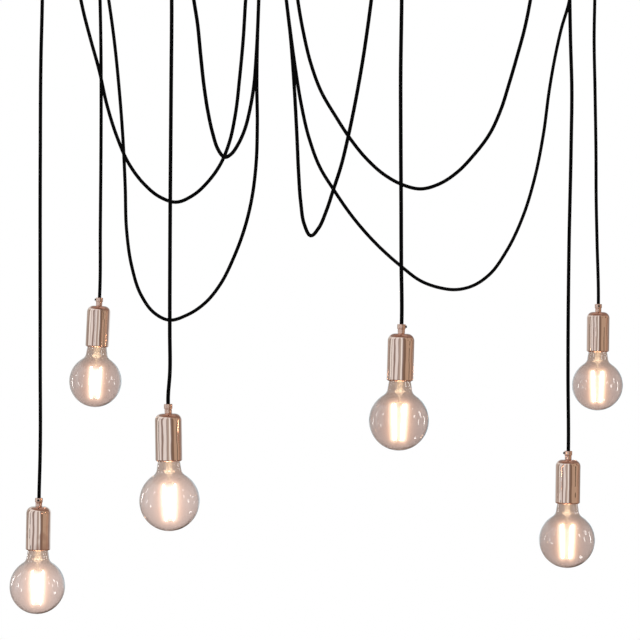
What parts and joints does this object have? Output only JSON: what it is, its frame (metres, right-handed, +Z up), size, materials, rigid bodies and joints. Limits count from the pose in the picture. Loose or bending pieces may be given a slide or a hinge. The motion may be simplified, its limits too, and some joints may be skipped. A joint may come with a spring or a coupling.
{
  "type": "spider pendant light",
  "caption": "Spider pendant light: polished copper lampholders with clear globe filament bulbs hang on black textile cords that swag from a ceiling rose over ceiling hooks.",
  "frame": {"origin": "centre of the ceiling rose's face against the ceiling", "axes": "+Z up through the ceiling, +X to the right of the room view, +Y away from the viewer"},
  "size_m": [1.1038, 0.7049, 1.2776],
  "materials": {
    "copper": "polished rose copper",
    "steel": "bright zinc",
    "cord": "black braided textile",
    "ceramic": "opaque glazed white ceramic",
    "nickel": "nickel plated",
    "glass": "clear, faintly rosy",
    "filament": "warm, lit",
    "nylon": "matt white"
  },
  "bodies": {
    "ceiling_set": {"rose_cover": "copper", "rose_bracket": "steel", "rose_nut": "copper", "rose_terminal_block": "nylon", "ceiling_screw_1": "steel", "ceiling_screw_2": "steel", "ceiling_hook_1": "steel", "swag_cord_1": "cord", "ceiling_hook_2": "steel", "swag_cord_2": "cord", "ceiling_hook_3": "steel", "swag_cord_3": "cord", "ceiling_hook_4": "steel", "swag_cord_4": "cord", "ceiling_hook_5": "steel", "swag_cord_5": "cord", "ceiling_hook_6": "steel", "swag_cord_6": "cord"},
    "pendant_1": {"drop_cord_1": "cord", "cord_grip_1": "copper", "holder_cup_1": "copper", "socket_1": "ceramic"},
    "bulb_1": {"bulb_glass_1": "glass", "bulb_cap_1": "nickel", "bulb_filaments_1": "filament"},
    "pendant_2": {"drop_cord_2": "cord", "cord_grip_2": "copper", "holder_cup_2": "copper", "socket_2": "ceramic"},
    "bulb_2": {"bulb_glass_2": "glass", "bulb_cap_2": "nickel", "bulb_filaments_2": "filament"},
    "pendant_3": {"drop_cord_3": "cord", "cord_grip_3": "copper", "holder_cup_3": "copper", "socket_3": "ceramic"},
    "bulb_3": {"bulb_glass_3": "glass", "bulb_cap_3": "nickel", "bulb_filaments_3": "filament"},
    "pendant_4": {"drop_cord_4": "cord", "cord_grip_4": "copper", "holder_cup_4": "copper", "socket_4": "ceramic"},
    "bulb_4": {"bulb_glass_4": "glass", "bulb_cap_4": "nickel", "bulb_filaments_4": "filament"},
    "pendant_5": {"drop_cord_5": "cord", "cord_grip_5": "copper", "holder_cup_5": "copper", "socket_5": "ceramic"},
    "bulb_5": {"bulb_glass_5": "glass", "bulb_cap_5": "nickel", "bulb_filaments_5": "filament"},
    "pendant_6": {"drop_cord_6": "cord", "cord_grip_6": "copper", "holder_cup_6": "copper", "socket_6": "ceramic"},
    "bulb_6": {"bulb_glass_6": "glass", "bulb_cap_6": "nickel", "bulb_filaments_6": "filament"}
  },
  "joints": [
    {"name": "pendant_swing_1", "type": "hinge", "parent": "ceiling_set", "child": "pendant_1", "pos_m": [-0.39346, 0.01374, -0.064], "axis": [-0.9993, 0.0384, 0], "range_deg": [-15, 15]},
    {"name": "bulb_turn_1", "type": "hinge", "parent": "pendant_1", "child": "bulb_1", "pos_m": [-0.40036, 0.01374, -1.0473], "axis": [-0.0192, 0, -0.9998], "range_deg": [0, 1260]},
    {"name": "pendant_swing_2", "type": "hinge", "parent": "ceiling_set", "child": "pendant_2", "pos_m": [-0.31947, 0.21306, -0.064], "axis": [-0.1805, 0.9836, 0], "range_deg": [-15, 15]},
    {"name": "bulb_turn_2", "type": "hinge", "parent": "pendant_2", "child": "bulb_2", "pos_m": [-0.31787, 0.21306, -0.6993], "axis": [-0.0489, 0, -0.9988], "range_deg": [0, 1260]},
    {"name": "pendant_swing_3", "type": "hinge", "parent": "ceiling_set", "child": "pendant_3", "pos_m": [-0.15099, -0.29005, -0.064], "axis": [-0.4571, -0.8894, 0], "range_deg": [-15, 15]},
    {"name": "bulb_turn_3", "type": "hinge", "parent": "pendant_3", "child": "bulb_3", "pos_m": [-0.15419, -0.29005, -0.8723], "axis": [0.014, 0, -0.9999], "range_deg": [0, 1260]},
    {"name": "pendant_swing_4", "type": "hinge", "parent": "ceiling_set", "child": "pendant_4", "pos_m": [0.21334, -0.27405, -0.064], "axis": [0.6266, -0.7793, 0], "range_deg": [-15, 15]},
    {"name": "bulb_turn_4", "type": "hinge", "parent": "pendant_4", "child": "bulb_4", "pos_m": [0.21414, -0.27405, -0.7467], "axis": [-0.0279, 0, -0.9996], "range_deg": [0, 1260]},
    {"name": "pendant_swing_5", "type": "hinge", "parent": "ceiling_set", "child": "pendant_5", "pos_m": [0.51199, -0.01788, -0.064], "axis": [0.9993, -0.0384, 0], "range_deg": [-15, 15]},
    {"name": "bulb_turn_5", "type": "hinge", "parent": "pendant_5", "child": "bulb_5", "pos_m": [0.50999, -0.01788, -0.964], "axis": [-0.0157, 0, -0.9999], "range_deg": [0, 1260]},
    {"name": "pendant_swing_6", "type": "hinge", "parent": "ceiling_set", "child": "pendant_6", "pos_m": [0.60332, 0.32079, -0.064], "axis": [0.8957, 0.4446, 0], "range_deg": [-15, 15]},
    {"name": "bulb_turn_6", "type": "hinge", "parent": "pendant_6", "child": "bulb_6", "pos_m": [0.60852, 0.32079, -0.7101], "axis": [-0.0122, 0, -0.9999], "range_deg": [0, 1260]}
  ]
}
